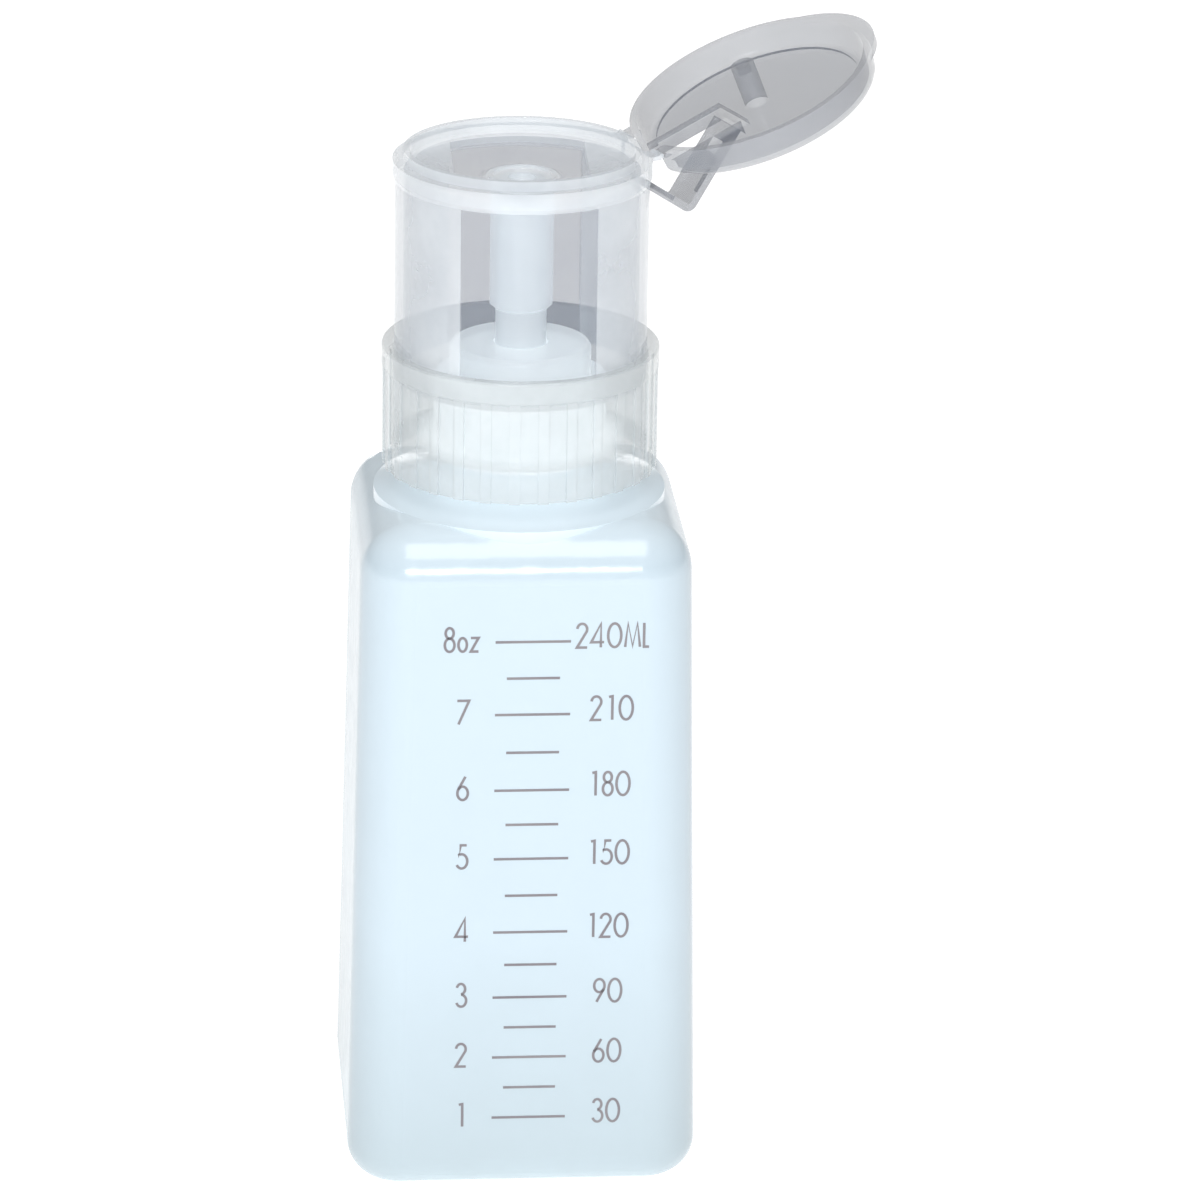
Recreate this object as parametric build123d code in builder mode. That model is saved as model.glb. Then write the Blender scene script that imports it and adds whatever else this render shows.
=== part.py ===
from build123d import *
import os
from math import cos, radians, sin, tan

os.makedirs("parts", exist_ok=True)

# All sizes are in millimetres. The origin is the centre of the bottle's foot, +Z is up
# and the printed scale faces -Y.

# Bottle: a tapered square body with a shallow cone below a round threaded neck
base_width = 56.0
shoulder_width = 51.4
shoulder_z = 110.2
body_corner_r = 8.4
foot_edge_r = 5.9
shoulder_edge_r = 8.0
bottle_wall = 1.3
floor_wall = 1.9
foot_recess = 0.5
foot_recess_width = 36.0
cone_base_r = 23.0
cone_rise = 3.0
neck_root_r = 10.8
neck_bore_r = 8.6
neck_height = 11.9
neck_flare_r = 2.2

# Screw thread: one and a quarter turns, on the neck and inside the collar
thread_pitch = 3.175
thread_height = 1.15
thread_crest = 0.7
thread_base = 1.6
thread_turns = 1.25
thread_clear = 0.3
thread_sink = 0.3
thread_drop = 1.5

# Clearances
slide_clear = 0.3
guide_clear = 0.06
seat_gap = 0.05
film_gap = 0.1
edge_tolerance = 0.01

# Collar: a ribbed outer skirt, an inner threaded skirt and a dome around the pump
gasket_thick = 0.8
flange_thick = 1.2
roof_thick = 1.2
inner_skirt_wall = 1.3
collar_wall = 1.2
collar_gap = 4.0
collar_height = 19.6
collar_edge_r = 0.4
skirt_gap = 3.0
web_lift = 3.6
web_thick = 1.2
dome_r = 11.1
dome_wall = 1.2
dome_height = 5.5
dome_edge_r = 1.0
rib_count = 30
rib_proud = 0.35
rib_width = 1.7
band_height = 3.3
band_proud = 0.5

# Push head: a clear cup turned upside down, dished on top, with a socket for the stem
head_r = 19.8
head_wall = 1.4
head_sink = 5.1
head_height = 34.9
rim_proud = 0.4
rim_depth = 3.3
rim_underside = 0.8
snap_ring_inset = 1.3
snap_ring_wall = 1.0
snap_ring_rise = 1.5
dish_depth = 3.1
dish_thick = 1.3
socket_r = 4.95
socket_chamfer = 0.5
stroke = 5.6
stop_gap = 0.25

# Pump
stem_r = 4.0
stem_bore_r = 1.8
stem_seat_r = 1.1
stem_seat_thick = 1.5
spigot_r = 3.0
spigot_length = 4.0
barrel_r = 6.6
barrel_bore_r = 5.5
barrel_length = 38.0
barrel_crown_r = 8.2
barrel_crown_height = 4.0
flange_r = 10.4
chaplet_cap = 0.7
chaplet_depth = 5.0
piston_drop = 6.0
piston_height = 5.0
piston_lip = 1.3
piston_waist_r = 4.8
valve_throat_r = 1.5
throat_length = 2.0
valve_chamber = 3.0
ball_r = 2.0
ball_room = 0.6
spring_shelf = 1.2
nipple_r = 4.3
nipple_length = 9.0
dip_tube_r = 3.0
dip_tube_bore_r = 2.1
dip_tube_foot = 5.0
spring_wire_r = 0.45
spring_coil_r = 4.3
spring_coils = 7

# Outlet at the centre of the dish
insert_r = 3.6
insert_thick = 1.6
insert_hole_r = 0.9
orifice_cup_r = 2.2
orifice_cup_depth = 0.8
outlet_ball_r = 1.6
outlet_room = 0.5
outlet_chamber = 3.9
boss_ring_r = 5.4
boss_ring_wall = 0.8
boss_ring_rise = 0.5
dish_hollow = 0.5

# Flip lid, shown open, on two film hinges with a snap strap between them
hinge_azimuth = 21.0
open_rise = 22.84
hinge_gap = 0.4
lid_inset = 0.25
lid_wall = 1.15
lid_depth = 5.5
lid_thick = 1.2
lid_edge_r = 2.3
lid_draft = 5.0
lid_step = 0.4
lid_step_inset = 3.15
film_width = 3.0
film_offset = 5.9
film_rod_r = 0.4
film_thick = 0.7
film_reach = 2.2
tab_proud = 1.5
tab_half_angle = 36.0
tab_thick = 1.3
pin_r = 1.9
pin_bore_r = 1.1
pin_bore_depth = 1.5
pin_entry = 0.3
notch_width = 8.4
notch_reach = 15.3
notch_wall = 0.9
notch_wall_rise = 0.9

# Snap strap: an L-shaped leaf that pivots on the head and ends in the lid's notch
strap_width = 7.4
strap_thick = 1.2
strap_corner_r = 1.0
strap_root_in = 0.5
strap_root_drop = 5.6
strap_corner_out = 7.0
strap_corner_drop = 10.6
strap_border = 1.1
strap_web = 0.45
strap_slot = 2.4
strap_rod_r = 0.5
strap_pocket_clear = 0.2
pocket_foot = 1.2

# Heights that follow from the sizes above
neck_foot_z = shoulder_z + cone_rise
neck_top_z = neck_foot_z + neck_height
flange_z = neck_top_z + gasket_thick
roof_z = flange_z + flange_thick + seat_gap
roof_top_z = roof_z + roof_thick
dome_top_z = roof_top_z + dome_height
socket_bottom_z = dome_top_z + stroke + stop_gap
collar_z = shoulder_z + collar_gap
collar_top_z = collar_z + collar_height
band_z = collar_top_z - band_height
web_z = collar_z + web_lift
head_bottom_z = collar_top_z - head_sink
ledge_z = head_bottom_z + head_height
skirt_foot_z = neck_foot_z + skirt_gap
dish_z = ledge_z - dish_depth
barrel_bottom_z = flange_z - barrel_length
outlet_top_z = dish_z - insert_thick
stem_top_z = outlet_top_z - outlet_chamber
piston_z = roof_z - piston_drop
throat_top_z = barrel_bottom_z - valve_chamber
spring_foot_z = barrel_bottom_z + spring_shelf
crown_top_z = roof_z + barrel_crown_height

# Radii that follow
thread_crest_r = neck_root_r + thread_height
skirt_bore_r = thread_crest_r + thread_clear
skirt_r = skirt_bore_r + inner_skirt_wall
cup_r = head_r + slide_clear
collar_r = cup_r + collar_wall
rim_r = head_r + rim_proud
snap_ring_r = head_r - snap_ring_inset
lid_r = rim_r - lid_inset
lid_step_r = lid_r - lid_step_inset

# Hinge frames: u runs from the hinge into the open lid, n is the way its inside faces
hinge_r = lid_r + hinge_gap
radial = Vector(cos(radians(hinge_azimuth)), sin(radians(hinge_azimuth)), 0)
up = Vector(0, 0, 1)
hinge_point = radial * hinge_r + up * ledge_z
lid_u = radial * cos(radians(open_rise)) + up * sin(radians(open_rise))
lid_n = up * cos(radians(open_rise)) - radial * sin(radians(open_rise))
lid_plane = Plane(origin=hinge_point, x_dir=lid_u, z_dir=lid_n)
swing_plane = Plane(origin=hinge_point, x_dir=radial, z_dir=radial.cross(up))
ledge_plane = Plane(origin=(0, 0, ledge_z), x_dir=radial, z_dir=(0, 0, 1))


def finish_piece(piece, name):
    piece.label = name
    export_step(piece, f"parts/{name}.step")


def bottle_form(inset, bottom_z):
    """The bottle's square body, drawn in by inset on every side."""
    with BuildPart() as form:
        with BuildSketch(Plane.XY.offset(bottom_z)):
            side = base_width - 2 * inset
            RectangleRounded(side, side, body_corner_r - inset)
        with BuildSketch(Plane.XY.offset(shoulder_z - inset)):
            side = shoulder_width - 2 * inset
            RectangleRounded(side, side, body_corner_r - inset)
        loft()
        fillet(form.faces().sort_by(Axis.Z)[0].edges(), foot_edge_r - inset)
        fillet(form.faces().sort_by(Axis.Z)[-1].edges(), shoulder_edge_r - inset)
    return form.part


def thread_ridge(root_r, crest_r, start_z):
    """A helical ridge with a trapezoid section, from its root radius to its crest radius."""
    outward = 1 if crest_r > root_r else -1
    with BuildPart() as ridge:
        with BuildLine():
            path = Helix(thread_pitch, thread_pitch * thread_turns, root_r, center=(0, 0, start_z))
        section = Plane(origin=path @ 0, x_dir=(outward, 0, 0), z_dir=path % 0)
        reach = abs(crest_r - root_r)
        with BuildSketch(section):
            with BuildLine():
                Polyline(
                    (-thread_sink, -thread_base / 2),
                    (reach, -thread_crest / 2),
                    (reach, thread_crest / 2),
                    (-thread_sink, thread_base / 2),
                    close=True,
                )
            make_face()
        sweep(path=path, is_frenet=True)
    return ridge.part


def revolved(points):
    """A solid of revolution about Z, from a closed outline of (radius, height) points."""
    with BuildPart() as turned:
        with BuildSketch(Plane.XZ):
            with BuildLine():
                Polyline(*points, close=True)
            make_face()
        revolve(axis=Axis.Z)
    return turned.part


# ---- bottle ----
neck_shell = [
    (0, shoulder_z - shoulder_edge_r),
    (cone_base_r, shoulder_z - shoulder_edge_r),
    (cone_base_r, shoulder_z),
    (neck_root_r + neck_flare_r, neck_foot_z),
    (neck_root_r, neck_foot_z + neck_flare_r),
    (neck_root_r, neck_top_z),
    (0, neck_top_z),
]
neck_space = [
    (0, shoulder_z - shoulder_edge_r),
    (cone_base_r - bottle_wall, shoulder_z - shoulder_edge_r),
    (cone_base_r - bottle_wall, shoulder_z - bottle_wall),
    (neck_bore_r, neck_foot_z - bottle_wall),
    (neck_bore_r, neck_top_z),
    (0, neck_top_z),
]
outer_form = bottle_form(0, 0)
inner_form = bottle_form(bottle_wall, floor_wall)
thread_start_z = neck_top_z - thread_drop - thread_base / 2 - thread_pitch * thread_turns
neck_thread = thread_ridge(neck_root_r, thread_crest_r, thread_start_z)
with BuildPart() as bottle:
    add(outer_form)
    add(revolved(neck_shell))
    add(inner_form, mode=Mode.SUBTRACT)
    add(revolved(neck_space), mode=Mode.SUBTRACT)
    add(neck_thread)
    with BuildSketch():
        RectangleRounded(foot_recess_width, foot_recess_width, body_corner_r)
    extrude(amount=foot_recess, mode=Mode.SUBTRACT)
finish_piece(bottle.part, "bottle")

# ---- neck gasket ----
with BuildPart() as neck_gasket:
    with BuildSketch(Plane.XY.offset(neck_top_z)):
        Circle(neck_root_r)
        Circle(barrel_r + seat_gap, mode=Mode.SUBTRACT)
    extrude(amount=gasket_thick)
finish_piece(neck_gasket.part, "neck_gasket")

# ---- screw collar ----
dome_profile = [
    (stem_r + slide_clear, dome_top_z),
    (dome_r, dome_top_z),
    (dome_r, roof_top_z),
    (skirt_r, roof_top_z),
    (skirt_r, web_z + web_thick),
    (cup_r, web_z + web_thick),
    (cup_r, collar_top_z),
    (collar_r + band_proud, collar_top_z),
    (collar_r + band_proud, band_z),
    (collar_r, band_z - band_proud),
    (collar_r, collar_z),
    (cup_r, collar_z),
    (cup_r, web_z),
    (skirt_r, web_z),
    (skirt_r, skirt_foot_z),
    (skirt_bore_r, skirt_foot_z),
    (skirt_bore_r, roof_z),
    (dome_r - dome_wall, roof_z),
    (dome_r - dome_wall, dome_top_z - dome_wall),
    (stem_r + slide_clear, dome_top_z - dome_wall),
]
collar_thread = thread_ridge(
    skirt_bore_r, neck_root_r + thread_clear, thread_start_z - thread_pitch / 2
)
with BuildPart() as screw_collar:
    add(revolved(dome_profile))
    rims = screw_collar.edges().filter_by(GeomType.CIRCLE)
    low, high = collar_top_z - edge_tolerance, collar_top_z + edge_tolerance
    outer_rim = rims.filter_by_position(Axis.Z, low, high)
    fillet(outer_rim.sort_by(SortBy.RADIUS)[-1], collar_edge_r)
    rims = screw_collar.edges().filter_by(GeomType.CIRCLE)
    low, high = dome_top_z - edge_tolerance, dome_top_z + edge_tolerance
    dome_rim = rims.filter_by_position(Axis.Z, low, high)
    fillet(dome_rim.filter_by(lambda rim: abs(rim.radius - dome_r) < edge_tolerance), dome_edge_r)
    with BuildSketch(Plane.XY.offset(collar_z)):
        with PolarLocations(collar_r, rib_count):
            Rectangle(2 * rib_proud, rib_width)
    extrude(amount=band_z - collar_z)
    add(collar_thread)
finish_piece(screw_collar.part, "screw_collar")

# ---- pump housing: flange on the neck, barrel, valve seat and dip tube nipple ----
housing_profile = [
    (barrel_bore_r, crown_top_z),
    (barrel_crown_r, crown_top_z),
    (barrel_crown_r, flange_z + flange_thick),
    (flange_r, flange_z + flange_thick),
    (flange_r, flange_z),
    (barrel_r, flange_z),
    (barrel_r, barrel_bottom_z),
    (nipple_r, throat_top_z - throat_length / 2),
    (nipple_r, throat_top_z - nipple_length),
    (dip_tube_r, throat_top_z - nipple_length),
    (dip_tube_r, throat_top_z - throat_length),
    (valve_throat_r, throat_top_z - throat_length),
    (valve_throat_r, throat_top_z),
    (ball_r + ball_room, throat_top_z),
    (ball_r + ball_room, spring_foot_z),
    (barrel_bore_r, spring_foot_z),
]
finish_piece(revolved(housing_profile), "pump_housing")

# ---- dip tube ----
with BuildPart() as dip_tube:
    tube_top_z = throat_top_z - throat_length
    with BuildSketch(Plane.XY.offset(dip_tube_foot)):
        Circle(dip_tube_r)
        Circle(dip_tube_bore_r, mode=Mode.SUBTRACT)
    extrude(amount=tube_top_z - dip_tube_foot)
finish_piece(dip_tube.part, "dip_tube")

# ---- chaplet: the bush in the top of the housing that guides the stem ----
chaplet_profile = [
    (stem_r + guide_clear, crown_top_z - chaplet_depth),
    (barrel_bore_r, crown_top_z - chaplet_depth),
    (barrel_bore_r, crown_top_z),
    (barrel_crown_r, crown_top_z),
    (barrel_crown_r, crown_top_z + chaplet_cap),
    (stem_r + guide_clear, crown_top_z + chaplet_cap),
]
finish_piece(revolved(chaplet_profile), "chaplet")

# ---- piston: a lip at each end that wipes the barrel ----
piston_r = barrel_bore_r - guide_clear
piston_foot_z = piston_z - piston_height
piston_profile = [
    (spigot_r, piston_foot_z),
    (piston_r, piston_foot_z),
    (piston_r, piston_foot_z + piston_lip),
    (piston_waist_r, piston_foot_z + piston_lip),
    (piston_waist_r, piston_z - piston_lip),
    (piston_r, piston_z - piston_lip),
    (piston_r, piston_z),
    (spigot_r, piston_z),
]
finish_piece(revolved(piston_profile), "piston")

# ---- stem: hollow, with the outlet valve's seat in its top ----
stem_profile = [
    (stem_bore_r, piston_z - spigot_length),
    (spigot_r, piston_z - spigot_length),
    (spigot_r, piston_z),
    (stem_r, piston_z),
    (stem_r, stem_top_z),
    (stem_seat_r, stem_top_z),
    (stem_seat_r, stem_top_z - stem_seat_thick),
    (stem_bore_r, stem_top_z - stem_seat_thick),
]
finish_piece(revolved(stem_profile), "stem")


def valve_ball(ball_radius, seat_radius, seat_z):
    """A ball that rests on the edge of a round hole."""
    rest_height = (ball_radius**2 - seat_radius**2) ** 0.5
    with BuildPart() as ball:
        with Locations((0, 0, seat_z + rest_height)):
            Sphere(ball_radius)
    return ball.part


# ---- valve balls ----
finish_piece(valve_ball(ball_r, valve_throat_r, throat_top_z), "inlet_ball")
finish_piece(valve_ball(outlet_ball_r, stem_seat_r, stem_top_z), "outlet_ball")

# ---- return spring, between the housing's shelf and the piston ----
spring_length = piston_foot_z - spring_foot_z - 2 * spring_wire_r - 2 * film_gap
with BuildPart() as return_spring:
    with BuildLine():
        coil = Helix(
            spring_length / spring_coils,
            spring_length,
            spring_coil_r,
            center=(0, 0, spring_foot_z + spring_wire_r + film_gap),
        )
    with BuildSketch(Plane(origin=coil @ 0, z_dir=coil % 0)):
        Circle(spring_wire_r)
    sweep(path=coil, is_frenet=True)
finish_piece(return_spring.part, "return_spring")

# ---- outlet insert: keeps the outlet ball in and takes the lid's pin ----
insert_profile = [
    (insert_hole_r, outlet_top_z),
    (insert_r, outlet_top_z),
    (insert_r, dish_z),
    (orifice_cup_r, dish_z),
    (orifice_cup_r, dish_z - orifice_cup_depth),
    (insert_hole_r, dish_z - orifice_cup_depth),
]
finish_piece(revolved(insert_profile), "outlet_insert")

# ---- push head ----
head_bore_r = head_r - head_wall
snap_bore_r = snap_ring_r - snap_ring_wall
ring_bore_r = boss_ring_r - boss_ring_wall
dish_edge_z = ledge_z - dish_hollow
dish_mid_r = (snap_bore_r + boss_ring_r) / 2
dish_mid_z = (dish_edge_z + dish_z) / 2 - dish_hollow
rod_x = hinge_r - strap_root_in
pocket_x = rod_x - strap_thick / 2 - strap_pocket_clear
with BuildPart() as push_head:
    with BuildSketch(Plane.XZ):
        with BuildLine():
            Polyline(
                (boss_ring_r, dish_z),
                (boss_ring_r, dish_z + boss_ring_rise),
                (ring_bore_r, dish_z + boss_ring_rise),
                (ring_bore_r, dish_z),
                (insert_r, dish_z),
                (insert_r, outlet_top_z),
                (outlet_ball_r + outlet_room, outlet_top_z),
                (outlet_ball_r + outlet_room, stem_top_z),
                (stem_r, stem_top_z),
                (stem_r, socket_bottom_z),
                (socket_r - socket_chamfer, socket_bottom_z),
                (socket_r, socket_bottom_z + socket_chamfer),
                (socket_r, dish_z - dish_thick),
            )
            ThreePointArc(
                (socket_r, dish_z - dish_thick),
                (dish_mid_r, dish_mid_z - dish_thick),
                (head_bore_r, dish_edge_z - dish_thick),
            )
            Polyline(
                (head_bore_r, dish_edge_z - dish_thick),
                (head_bore_r, head_bottom_z),
                (head_r, head_bottom_z),
                (head_r, ledge_z - rim_depth),
                (rim_r, ledge_z - rim_depth + rim_underside),
                (rim_r, ledge_z),
                (snap_ring_r, ledge_z),
                (snap_ring_r, ledge_z + snap_ring_rise),
                (snap_bore_r, ledge_z + snap_ring_rise),
                (snap_bore_r, dish_edge_z),
            )
            ThreePointArc(
                (snap_bore_r, dish_edge_z), (dish_mid_r, dish_mid_z), (boss_ring_r, dish_z)
            )
        make_face()
    revolve(axis=Axis.Z)
    with BuildSketch(ledge_plane.offset(snap_ring_rise)):
        with Locations((pocket_x + rim_r / 2, 0)):
            Rectangle(rim_r, notch_width)
    pocket_height = snap_ring_rise + strap_root_drop + pocket_foot
    extrude(amount=-pocket_height, mode=Mode.SUBTRACT)
    with BuildSketch(ledge_plane.offset(-seat_gap)):
        with Locations(
            (hinge_r - film_reach / 2, film_offset), (hinge_r - film_reach / 2, -film_offset)
        ):
            Rectangle(film_reach, film_width)
    extrude(amount=seat_gap - film_thick)
    with BuildSketch(swing_plane):
        Circle(film_rod_r)
    extrude(amount=film_offset + film_width / 2, both=True)
    with BuildSketch(swing_plane):
        Circle(film_rod_r)
    extrude(amount=film_offset - film_width / 2, both=True, mode=Mode.SUBTRACT)
    with BuildSketch(swing_plane):
        with Locations((-strap_root_in, -strap_root_drop)):
            Circle(strap_rod_r)
        with Locations((-strap_root_in - strap_thick / 2, -strap_root_drop)):
            Rectangle(strap_thick, strap_rod_r)
    extrude(amount=strap_width / 2, both=True)
finish_piece(push_head.part, "push_head")

# ---- flip lid ----
lid_bore_r = lid_r - lid_wall
plate_n = lid_thick - lid_depth
lid_top_r = lid_r - lid_depth * tan(radians(lid_draft))
plate_r = lid_bore_r + plate_n * tan(radians(lid_draft))
tab_edge_x = lid_r * cos(radians(tab_half_angle))
tab_reach = lid_r + tab_proud
tab_centre = (tab_reach**2 - lid_r**2) / (2 * (tab_reach - tab_edge_x))
border_length = notch_reach + notch_wall
film_near = film_rod_r + seat_gap
pin_tip_n = dish_depth + pin_entry
with BuildPart() as lid:
    with BuildSketch(lid_plane.offset(-lid_depth)):
        with Locations((hinge_r, 0)):
            Circle(lid_top_r)
    extrude(amount=lid_depth - seat_gap, taper=-lid_draft)
    outer_edge = lid.edges().filter_by(GeomType.CIRCLE).sort_by(Axis(hinge_point, lid_n))[0]
    fillet(outer_edge, lid_edge_r)
    with BuildSketch(lid_plane.offset(-seat_gap)):
        with Locations((hinge_r + tab_centre, 0)):
            Circle(tab_reach - tab_centre)
    extrude(amount=-tab_thick)
    with BuildSketch(lid_plane.offset(plate_n)):
        with Locations((hinge_r, 0)):
            Circle(plate_r)
    extrude(amount=lid_depth, taper=-lid_draft, mode=Mode.SUBTRACT)
    with BuildSketch(lid_plane.offset(plate_n)):
        with Locations((hinge_r, 0)):
            Circle(lid_step_r)
    extrude(amount=lid_step)
    with BuildSketch(lid_plane.offset(plate_n)):
        with Locations((border_length / 2, 0)):
            Rectangle(border_length, notch_width + 2 * notch_wall)
        with Locations((hinge_r, 0)):
            Circle(lid_bore_r, mode=Mode.INTERSECT)
    extrude(amount=lid_step + notch_wall_rise)
    with BuildSketch(lid_plane.offset(-seat_gap)):
        film_mid = (film_near + film_reach) / 2
        with Locations((film_mid, film_offset), (film_mid, -film_offset)):
            Rectangle(film_reach - film_near, film_width)
    extrude(amount=seat_gap - film_thick)
    with BuildSketch(lid_plane.offset(-lid_depth)):
        Rectangle(2 * notch_reach, notch_width)
    extrude(amount=2 * lid_depth, mode=Mode.SUBTRACT)
    with BuildSketch(lid_plane.offset(plate_n)):
        with Locations((hinge_r, 0)):
            Circle(pin_r)
    extrude(amount=pin_tip_n - plate_n)
    with BuildSketch(lid_plane.offset(pin_tip_n)):
        with Locations((hinge_r, 0)):
            Circle(pin_bore_r)
    extrude(amount=-pin_bore_depth, mode=Mode.SUBTRACT)
finish_piece(lid.part, "lid")

# ---- snap strap ----
# The strap's tip has to be as far from its root with the lid shut as with it open.
tip_u = notch_reach - strap_thick / 2 - film_gap
root = Vector(-strap_root_in, -strap_root_drop)
corner = Vector(strap_corner_out, -strap_corner_drop)
rise_cos = cos(radians(open_rise))
rise_sin = sin(radians(open_rise))
tip_n = -tip_u * (root.X * (1 + rise_cos) + root.Y * rise_sin)
tip_n = tip_n / (root.Y * (1 + rise_cos) - root.X * rise_sin)
tip = Vector(tip_u * rise_cos - tip_n * rise_sin, tip_u * rise_sin + tip_n * rise_cos)
short_leg = corner - root
long_leg = tip - corner
root_gap = strap_rod_r + film_gap + strap_thick / 2
strap_start = root + short_leg.normalized() * root_gap


def leg_pocket_plane(start, leg):
    """A plane on the thin web of a leg, facing the inside of the strap's corner."""
    middle = start + leg / 2
    along = leg.normalized()
    inward = Vector(-along.Y, along.X)
    floor_point = middle + inward * (strap_web - strap_thick / 2)
    origin = swing_plane.from_local_coords(floor_point)
    x_dir = swing_plane.from_local_coords(along) - swing_plane.origin
    z_dir = swing_plane.from_local_coords(inward) - swing_plane.origin
    return Plane(origin=origin, x_dir=x_dir, z_dir=z_dir)


with BuildPart() as hinge_strap:
    with BuildSketch(swing_plane):
        with BuildLine():
            FilletPolyline(strap_start, corner, tip, radius=strap_corner_r)
        trace(line_width=strap_thick)
    extrude(amount=strap_width / 2, both=True)
    pocket_margin = strap_thick + strap_border + root_gap / 2
    pocket_width = strap_width - 2 * strap_border
    with BuildSketch(leg_pocket_plane(root, short_leg)):
        Rectangle(short_leg.length - 2 * pocket_margin, pocket_width)
    extrude(amount=strap_thick, mode=Mode.SUBTRACT)
    with BuildSketch(leg_pocket_plane(corner, long_leg)):
        Rectangle(long_leg.length - 2 * pocket_margin, pocket_width)
    extrude(amount=strap_thick, mode=Mode.SUBTRACT)
    with BuildSketch(leg_pocket_plane(corner, long_leg)):
        with Locations((long_leg.length / 2 - pocket_margin - strap_slot / 2, 0)):
            Rectangle(strap_slot, pocket_width)
    extrude(amount=-strap_thick, mode=Mode.SUBTRACT)
finish_piece(hinge_strap.part, "hinge_strap")
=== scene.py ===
"""Looks for the push-down pump dispenser bottle: materials, printed scale, light and camera."""
from math import cos, radians, sin

import bmesh
import bpy
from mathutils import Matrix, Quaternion, Vector


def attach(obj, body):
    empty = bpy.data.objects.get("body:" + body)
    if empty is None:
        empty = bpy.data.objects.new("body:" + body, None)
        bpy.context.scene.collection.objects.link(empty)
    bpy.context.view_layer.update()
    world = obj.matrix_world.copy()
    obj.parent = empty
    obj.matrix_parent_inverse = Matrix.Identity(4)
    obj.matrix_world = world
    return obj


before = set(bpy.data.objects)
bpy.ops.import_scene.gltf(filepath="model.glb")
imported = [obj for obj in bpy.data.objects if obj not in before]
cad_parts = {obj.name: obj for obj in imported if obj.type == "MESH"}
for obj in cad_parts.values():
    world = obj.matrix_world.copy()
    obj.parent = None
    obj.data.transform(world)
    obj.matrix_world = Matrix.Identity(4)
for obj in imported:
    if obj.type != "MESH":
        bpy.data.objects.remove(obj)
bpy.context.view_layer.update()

MM = 0.001

# Places in the part, in millimetres, where its plastics turn from clear to milky
pane_half_width = 10.3
socket_r = 5.2
socket_top_z = 159.5
rim_bore_r = 16.2
rim_foot_z = 160.1
threaded_skirt_r = 15.0
lid_bore_r = 17.4
lid_plate_drop = 3.8
shoulder_z = 110.2

# The tint of the painted glow that stands in for light that thick plastic scatters on
painted_glow_tint = (0.93, 0.98, 1.0, 1.0)

# The open lid's axis, from its hinge on the head
lid_azimuth = radians(21.0)
lid_rise = radians(22.84)
hinge_r = 20.35
hinge_z = 163.6
lid_out = Vector((cos(lid_azimuth) * cos(lid_rise), sin(lid_azimuth) * cos(lid_rise), sin(lid_rise)))
lid_axis = Vector((-cos(lid_azimuth) * sin(lid_rise), -sin(lid_azimuth) * sin(lid_rise), cos(lid_rise)))
hinge_point = Vector((cos(lid_azimuth) * hinge_r, sin(lid_azimuth) * hinge_r, hinge_z))
lid_centre = (hinge_point + lid_out * hinge_r) * MM


# ---- materials ----
def new_material(name):
    material = bpy.data.materials.new(name)
    material.use_nodes = True
    tree = material.node_tree
    return material, tree, tree.nodes["Principled BSDF"]


def add_noise(tree, where, scale, detail, low, high):
    """Fractal noise of the place, spread from low to high."""
    noise = tree.nodes.new("ShaderNodeTexNoise")
    noise.inputs["Scale"].default_value = scale
    noise.inputs["Detail"].default_value = detail
    tree.links.new(where, noise.inputs["Vector"])
    spread = tree.nodes.new("ShaderNodeMapRange")
    spread.inputs["From Min"].default_value = 0.3
    spread.inputs["From Max"].default_value = 0.7
    spread.inputs["To Min"].default_value = low
    spread.inputs["To Max"].default_value = high
    tree.links.new(noise.outputs["Fac"], spread.inputs["Value"])
    return spread.outputs["Result"]


def add_colour(tree, shader, factor, first, second):
    """The base colour, mixed between two tones by a factor."""
    mix = tree.nodes.new("ShaderNodeMix")
    mix.data_type = "RGBA"
    mix.inputs["A"].default_value = (*first, 1.0)
    mix.inputs["B"].default_value = (*second, 1.0)
    tree.links.new(factor, mix.inputs["Factor"])
    tree.links.new(mix.outputs["Result"], shader.inputs["Base Color"])


def add_bump(tree, shader, height, strength, depth):
    bump = tree.nodes.new("ShaderNodeBump")
    bump.inputs["Strength"].default_value = strength
    bump.inputs["Distance"].default_value = depth
    tree.links.new(height, bump.inputs["Height"])
    tree.links.new(bump.outputs["Normal"], shader.inputs["Normal"])


def rising(tree, value, start, end, low=0.0, high=1.0):
    """Goes evenly from low to high while a value goes from start to end."""
    ramp = tree.nodes.new("ShaderNodeMapRange")
    ramp.inputs["From Min"].default_value = start
    ramp.inputs["From Max"].default_value = end
    ramp.inputs["To Min"].default_value = low
    ramp.inputs["To Max"].default_value = high
    tree.links.new(value, ramp.inputs["Value"])
    return ramp.outputs["Result"]


def combined(tree, operation, first, second):
    math = tree.nodes.new("ShaderNodeMath")
    math.operation = operation
    tree.links.new(first, math.inputs[0])
    tree.links.new(second, math.inputs[1])
    return math.outputs["Value"]


def vector_step(tree, operation, where, other):
    step = tree.nodes.new("ShaderNodeVectorMath")
    step.operation = operation
    tree.links.new(where, step.inputs[0])
    if other is not None:
        step.inputs[1].default_value = other
    return step


def axis_distance(tree, where, point, axis):
    """How far a place is from a line through a point, in metres."""
    offset = vector_step(tree, "SUBTRACT", where, point)
    across = vector_step(tree, "CROSS_PRODUCT", offset.outputs["Vector"], axis)
    return vector_step(tree, "LENGTH", across.outputs["Vector"], None).outputs["Value"]


def finish_surface(tree, shader, where, roughness, ripple):
    """Mottled gloss and a slightly uneven surface."""
    gloss = add_noise(tree, where, 260.0, 3.0, roughness * 0.8, roughness * 1.25)
    tree.links.new(gloss, shader.inputs["Roughness"])
    add_bump(tree, shader, add_noise(tree, where, 45.0, 3.0, 0.0, 1.0), ripple, 0.4 * MM)
    shader.inputs["IOR"].default_value = 1.49


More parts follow.
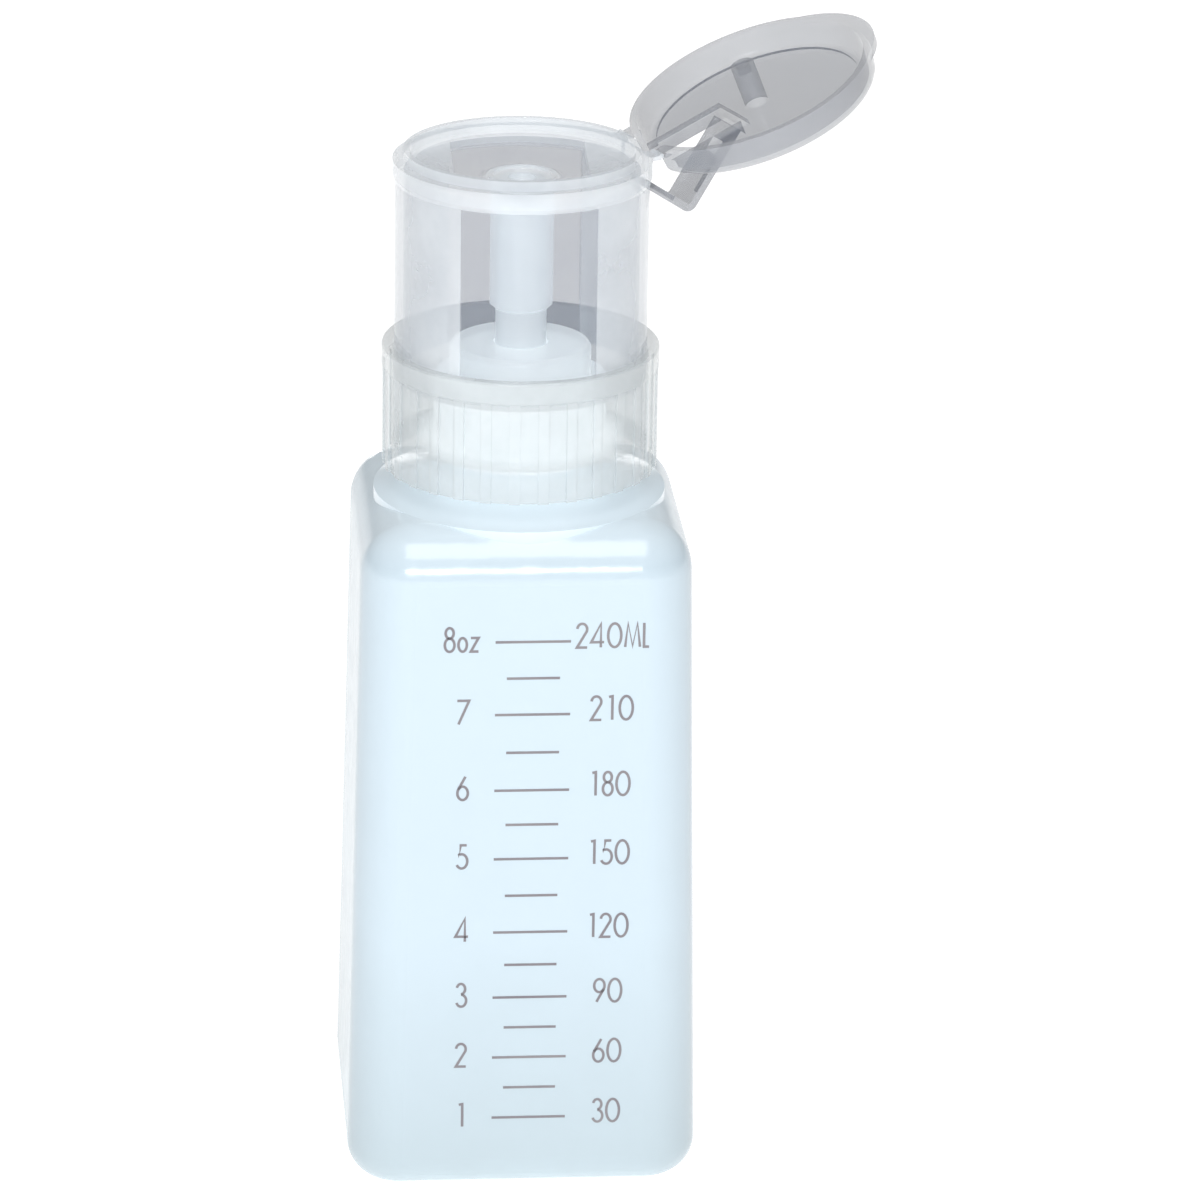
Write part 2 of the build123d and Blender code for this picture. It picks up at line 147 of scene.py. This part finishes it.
def moulded(name, first, second, opacity, roughness, ripple, glow=0.0):
    """A moulded plastic of one milkiness, with a cloudy colour and, where given, a painted glow."""
    material, tree, shader = new_material(name)
    where = tree.nodes.new("ShaderNodeTexCoord").outputs["Object"]
    add_colour(tree, shader, add_noise(tree, where, 70.0, 5.0, 0.0, 1.0), first, second)
    finish_surface(tree, shader, where, roughness, ripple)
    shader.inputs["Alpha"].default_value = opacity
    shader.inputs["Emission Color"].default_value = painted_glow_tint
    shader.inputs["Emission Strength"].default_value = glow
    return material


def translucent(name, haze, clear_tone, milky_tone, thin, thick, glow):
    """A see-through plastic that turns milky, and gets a painted glow, where its haze is high."""
    material, tree, shader = new_material(name)
    where = tree.nodes.new("ShaderNodeTexCoord").outputs["Object"]
    cloud = add_noise(tree, where, 70.0, 5.0, -0.05, 0.05)
    amount = combined(tree, "ADD", haze(tree, where), cloud)
    add_colour(tree, shader, amount, clear_tone, milky_tone)
    tree.links.new(rising(tree, amount, 0.0, 1.0, thin, thick), shader.inputs["Alpha"])
    # Painted glow: the milkier parts emit a faint light that stands in for light scattered through
    # them.
    tree.links.new(rising(tree, amount, 0.5, 1.0, 0.0, glow), shader.inputs["Emission Strength"])
    shader.inputs["Emission Color"].default_value = painted_glow_tint
    finish_surface(tree, shader, where, 0.14, 0.04)
    shader.inputs["Specular IOR Level"].default_value = 0.9
    return material


def milky_bottle(name, shaded_foot_tone, body_tone):
    """The milky bottle: painted greyer towards its foot as shade, and given a painted glow about its
    neck.
    """
    material, tree, shader = new_material(name)
    where = tree.nodes.new("ShaderNodeTexCoord").outputs["Object"]
    parts = tree.nodes.new("ShaderNodeSeparateXYZ")
    tree.links.new(where, parts.inputs["Vector"])
    height = parts.outputs["Z"]
    cloud = add_noise(tree, where, 70.0, 5.0, -0.06, 0.06)
    # Painted shade: the colour darkens from the body tone to the foot tone below 45 mm.
    amount = combined(tree, "ADD", rising(tree, height, 0.0, 45.0 * MM), cloud)
    add_colour(tree, shader, amount, shaded_foot_tone, body_tone)
    # Painted glow: the bottle emits light about its shoulder and neck, standing in for light there.
    glow = rising(tree, height, (shoulder_z - 5.2) * MM, (shoulder_z + 2.8) * MM, 0.0, 0.3)
    tree.links.new(glow, shader.inputs["Emission Strength"])
    shader.inputs["Emission Color"].default_value = painted_glow_tint
    finish_surface(tree, shader, where, 0.18, 0.03)
    shader.inputs["Specular IOR Level"].default_value = 0.8
    return material


def head_haze(tree, where):
    """The socket and the rim are milky, the sides hazy, the front and back panes clear."""
    radius = axis_distance(tree, where, (0, 0, 0), (0, 0, 1))
    parts = tree.nodes.new("ShaderNodeSeparateXYZ")
    tree.links.new(where, parts.inputs["Vector"])
    height = parts.outputs["Z"]
    sideways = tree.nodes.new("ShaderNodeMath")
    sideways.operation = "ABSOLUTE"
    tree.links.new(parts.outputs["X"], sideways.inputs[0])
    below = rising(tree, height, socket_top_z * MM, (socket_top_z - 2.0) * MM, 0.75, 1.0)
    middle = rising(tree, radius, (socket_r + 1.8) * MM, socket_r * MM)
    core = combined(tree, "MINIMUM", middle, below)
    sides = rising(
        tree, sideways.outputs["Value"], pane_half_width * MM, (pane_half_width + 0.3) * MM, 0.0, 0.62
    )
    outside = rising(tree, radius, rim_bore_r * MM, (rim_bore_r + 0.6) * MM, 0.0, 0.68)
    above = rising(tree, height, rim_foot_z * MM, (rim_foot_z + 0.4) * MM)
    rim = combined(tree, "MINIMUM", outside, above)
    return combined(tree, "MAXIMUM", combined(tree, "MAXIMUM", core, sides), rim)


def collar_haze(tree, where):
    """The dome and the threaded skirt are milkier than the ribbed skirt around them."""
    radius = axis_distance(tree, where, (0, 0, 0), (0, 0, 1))
    return rising(tree, radius, (threaded_skirt_r + 2.0) * MM, threaded_skirt_r * MM, 0.5, 1.0)


def lid_haze(tree, where):
    """The skirt, the pin and the notch walls stand hazier above the clear plate."""
    radius = axis_distance(tree, where, lid_centre, lid_axis)
    offset = vector_step(tree, "SUBTRACT", where, lid_centre)
    height = vector_step(tree, "DOT_PRODUCT", offset.outputs["Vector"], lid_axis).outputs["Value"]
    walls = rising(tree, height, -lid_plate_drop * MM, (0.3 - lid_plate_drop) * MM, 0.0, 0.85)
    skirt = rising(tree, radius, lid_bore_r * MM, (lid_bore_r + 0.5) * MM)
    return combined(tree, "MAXIMUM", walls, skirt)


def metal(name, colour, roughness, grain):
    """A bright metal with fine drawing marks."""
    material, tree, shader = new_material(name)
    where = tree.nodes.new("ShaderNodeTexCoord").outputs["Object"]
    darker = [part * 0.8 for part in colour]
    add_colour(tree, shader, add_noise(tree, where, 900.0, 4.0, 0.0, 1.0), darker, colour)
    gloss = add_noise(tree, where, 2000.0, 2.0, roughness * 0.6, roughness * 1.4)
    tree.links.new(gloss, shader.inputs["Roughness"])
    add_bump(tree, shader, add_noise(tree, where, 3000.0, 2.0, 0.0, 1.0), grain, 0.02 * MM)
    shader.inputs["Metallic"].default_value = 1.0
    return material


def paint(material, *nodes):
    for node in nodes:
        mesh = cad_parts[node].data
        mesh.materials.clear()
        mesh.materials.append(material)


# The first tone is the painted shade at the bottle's foot.
milky = milky_bottle("milky_polyethylene", (0.46, 0.54, 0.58), (0.56, 0.655, 0.72))
# The last number of each translucent plastic is the strength of its painted glow.
clear = translucent(
    "clear_polypropylene", head_haze, (0.05, 0.08, 0.15), (0.90, 0.93, 0.95), 0.19, 0.55, 0.28
)
collar_clear = translucent(
    "clear_collar", collar_haze, (0.36, 0.40, 0.41), (0.92, 0.95, 0.96), 0.2, 0.6, 0.35
)
lid_clear = translucent(
    "clear_lid", lid_haze, (0.06, 0.08, 0.13), (0.42, 0.43, 0.46), 0.4, 0.44, 0.0
)
strap_clear = moulded("clear_strap", (0.28, 0.29, 0.32), (0.34, 0.35, 0.38), 0.5, 0.14, 0.04)
# The natural plastic gets a faint painted glow, standing in for the light on the pump parts.
natural = moulded(
    "natural_polyethylene", (0.86, 0.90, 0.92), (0.90, 0.94, 0.95), 1.0, 0.3, 0.04, glow=0.2
)
tube = moulded("tube_polyethylene", (0.80, 0.83, 0.86), (0.88, 0.90, 0.92), 0.6, 0.2, 0.02)
foam = moulded("gasket_foam", (0.84, 0.84, 0.82), (0.92, 0.92, 0.90), 1.0, 0.75, 0.4)
paint(milky, "bottle")
paint(clear, "push_head", "outlet_insert")
paint(collar_clear, "screw_collar")
paint(lid_clear, "lid")
paint(strap_clear, "hinge_strap")
paint(natural, "pump_housing", "chaplet", "piston", "stem")
paint(tube, "dip_tube")
paint(foam, "neck_gasket")
paint(metal("spring_wire", (0.62, 0.62, 0.64), 0.3, 0.3), "return_spring")
paint(metal("polished_ball", (0.78, 0.79, 0.81), 0.08, 0.05), "inlet_ball", "outlet_ball")

# ---- printed scale on the bottle's front face ----
foot_half = 28.0
shoulder_half = 25.7
ink_proud = 0.03
line_width = 0.42
digit_height = 3.9


def on_front(x, z):
    """A point of the print, a little proud of the sloping front face, from millimetres."""
    depth = foot_half - (foot_half - shoulder_half) * z / shoulder_z
    return Vector((x, -depth - ink_proud, z)) * MM


def arc(centre_x, centre_z, radius_x, radius_z, start, end):
    steps = 24
    turns = [radians(start + (end - start) * step / steps) for step in range(steps + 1)]
    return [(centre_x + radius_x * cos(turn), centre_z + radius_z * sin(turn)) for turn in turns]


top = digit_height
glyphs = {
    "0": (2.05, [arc(1.02, top / 2, 1.02, top / 2, 0, 360)]),
    "1": (0.55, [[(0, top - 0.12), (0.55, top), (0.55, 0)]]),
    "2": (1.6, [arc(0.8, top - 0.9, 0.76, 0.9, 175, -32) + [(0, 0), (1.6, 0)]]),
    "3": (
        1.55,
        [
            arc(0.72, top - 0.88, 0.66, 0.88, 165, -90),
            arc(0.76, 1.02, 0.79, 1.02, 90, -160),
        ],
    ),
    "4": (2.0, [[(1.5, 0), (1.5, top), (0, 0.85), (2.0, 0.85)]]),
    "5": (1.6, [[(1.5, top), (0.55, top), (0.3, 2.2)] + arc(0.72, 1.2, 0.88, 1.2, 118, -150)]),
    "6": (1.65, [arc(0.82, 1.12, 0.82, 1.12, 0, 360), [(0.13, 1.75), (1.25, top)]]),
    "7": (1.85, [[(0, top), (1.85, top), (0.2, 0)]]),
    "8": (
        1.5,
        [
            arc(0.75, top - 0.86, 0.62, 0.86, 0, 360),
            arc(0.75, 1.09, 0.75, 1.09, 0, 360),
        ],
    ),
    "9": (1.65, [arc(0.83, top - 1.12, 0.82, 1.12, 0, 360), [(1.52, top - 1.75), (0.4, 0)]]),
    "o": (1.3, [arc(0.65, 1.12, 0.65, 1.12, 0, 360)]),
    "z": (1.2, [[(0, 2.24), (1.2, 2.24), (0, 0), (1.2, 0)]]),
    "M": (2.3, [[(0, 0), (0.42, top), (1.15, 0.1), (1.88, top), (2.3, 0)]]),
    "L": (0.8, [[(0, top), (0, 0), (0.8, 0)]]),
}
letter_gap = {"1": 1.15}
usual_gap = 0.62


def stroke(shape, points):
    """A flat ribbon of ink along a line of (x, z) points, with mitred corners."""
    closed = (Vector(points[0]) - Vector(points[-1])).length < 1e-6
    path = [Vector(point) for point in points]
    if closed:
        path.pop()
    count = len(path)
    left, right = [], []
    for index, point in enumerate(path):
        before = path[index - 1] if closed or index > 0 else None
        after = path[(index + 1) % count] if closed or index < count - 1 else None
        along_in = (point - before).normalized() if before is not None else None
        along_out = (after - point).normalized() if after is not None else along_in
        along_in = along_in if along_in is not None else along_out
        side = Vector((-(along_in + along_out).y, (along_in + along_out).x)).normalized()
        spread = max(side.dot(Vector((-along_in.y, along_in.x))), 0.45)
        reach = line_width / 2 / spread
        left.append(shape.verts.new(on_front(*(point + side * reach))))
        right.append(shape.verts.new(on_front(*(point - side * reach))))
    spans = count if closed else count - 1
    for index in range(spans):
        after = (index + 1) % count
        shape.faces.new((left[index], right[index], right[after], left[after]))


def write(shape, text, centre_x, middle_z):
    pairs = zip(text, text[1:])
    gaps = [letter_gap.get(first, letter_gap.get(second, usual_gap)) for first, second in pairs]
    width = sum(glyphs[letter][0] for letter in text) + sum(gaps)
    x = centre_x - width / 2
    for letter, gap in zip(text, gaps + [0.0]):
        for line in glyphs[letter][1]:
            stroke(shape, [(x + dx, middle_z - digit_height / 2 + dz) for dx, dz in line])
        x += glyphs[letter][0] + gap


levels = [13.0, 23.4, 33.7, 44.8, 57.2, 68.7, 81.3, 93.3]
ounces = ["1", "2", "3", "4", "5", "6", "7", "8oz"]
millilitres = ["30", "60", "90", "120", "150", "180", "210", "240ML"]
ink_mesh = bpy.data.meshes.new("printed_scale")
ink_shape = bmesh.new()
for index, (level, ounce, millilitre) in enumerate(zip(levels, ounces, millilitres)):
    stroke(ink_shape, [(-5.25, level), (6.47, level)])
    write(ink_shape, ounce, -10.2 if len(ounce) == 1 else -10.5, level + 0.5)
    write(ink_shape, millilitre, 13.0, level + 0.9)
    if index:
        middle = (level + levels[index - 1]) / 2
        stroke(ink_shape, [(-3.45, middle), (4.83, middle)])
bmesh.ops.recalc_face_normals(ink_shape, faces=ink_shape.faces)
for face in ink_shape.faces:
    if face.normal.y > 0:
        face.normal_flip()
ink_shape.to_mesh(ink_mesh)
ink_shape.free()
printed_scale = bpy.data.objects.new("printed_scale", ink_mesh)
bpy.context.scene.collection.objects.link(printed_scale)
ink = moulded("scale_ink", (0.20, 0.18, 0.20), (0.26, 0.24, 0.25), 1.0, 0.45, 0.1)
ink_mesh.materials.append(ink)
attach(printed_scale, "bottle")

# ---- floor and light ----
floor_mesh = bpy.data.meshes.new("floor")
floor = bpy.data.objects.new("floor", floor_mesh)
bpy.context.scene.collection.objects.link(floor)
floor_shape = bmesh.new()
bmesh.ops.create_grid(floor_shape, x_segments=1, y_segments=1, size=6.0)
floor_shape.to_mesh(floor_mesh)
floor_shape.free()
floor_paint, floor_tree, floor_shader = new_material("floor_white")
floor_where = floor_tree.nodes.new("ShaderNodeTexCoord").outputs["Object"]
floor_tone = add_noise(floor_tree, floor_where, 3.0, 2.0, 0.0, 1.0)
add_colour(floor_tree, floor_shader, floor_tone, (0.80, 0.80, 0.80), (0.82, 0.82, 0.82))
floor_shader.inputs["Roughness"].default_value = 0.9
floor_shader.inputs["Specular IOR Level"].default_value = 0.0
floor_shader.inputs["Emission Color"].default_value = (1.0, 1.0, 1.0, 1.0)
floor_shader.inputs["Emission Strength"].default_value = 0.66
floor_mesh.materials.append(floor_paint)

world = bpy.data.worlds.new("studio")
bpy.context.scene.world = world
world.use_nodes = True
world.node_tree.nodes["Background"].inputs["Color"].default_value = (1.0, 1.0, 1.0, 1.0)
world.node_tree.nodes["Background"].inputs["Strength"].default_value = 0.3


def area_light(name, azimuth, elevation, distance, height, size, power, colour):
    """A soft panel that faces the bottle's axis at a height above the floor."""
    aim = Vector((0, 0, height))
    turn, rise = radians(azimuth), radians(elevation)
    away = Vector((sin(turn) * cos(rise), -cos(turn) * cos(rise), sin(rise)))
    lamp = bpy.data.lights.new(name, "AREA")
    lamp.shape = "RECTANGLE"
    lamp.size, lamp.size_y = size
    lamp.energy = power
    lamp.color = colour
    lamp_object = bpy.data.objects.new(name, lamp)
    lamp_object.location = aim + away * distance
    lamp_object.rotation_euler = away.to_track_quat("Z", "Y").to_euler()
    bpy.context.scene.collection.objects.link(lamp_object)


area_light("key", -8.0, 18.0, 1.15, 0.10, (0.50, 0.13), 6.2, (0.92, 0.97, 1.0))
area_light("top", 0.0, 65.0, 1.2, 0.10, (0.8, 0.8), 5.5, (1.0, 1.0, 1.0))
area_light("back", 178.0, 4.0, 0.9, 0.06, (0.5, 0.10), 0.5, (1.0, 1.0, 1.0))

# ---- camera ----
camera_target = Vector((0, 0, 0.095))
camera_azimuth = radians(-4.18)
camera_elevation = radians(20.22)
camera_distance = 0.9444
camera_roll = radians(0.66)
lens = bpy.data.cameras.new("camera")
lens.sensor_width = 36.0
lens.lens = 178.4
lens.shift_x = 0.0684
lens.shift_y = -0.0221
camera = bpy.data.objects.new("camera", lens)
away = Vector((
    sin(camera_azimuth) * cos(camera_elevation),
    -cos(camera_azimuth) * cos(camera_elevation),
    sin(camera_elevation),
))
camera.location = camera_target + away * camera_distance
camera.rotation_mode = "QUATERNION"
camera.rotation_quaternion = away.to_track_quat("Z", "Y") @ Quaternion((0, 0, 1), camera_roll)
bpy.context.scene.collection.objects.link(camera)
bpy.context.scene.camera = camera
bpy.context.scene.view_settings.view_transform = "Standard"
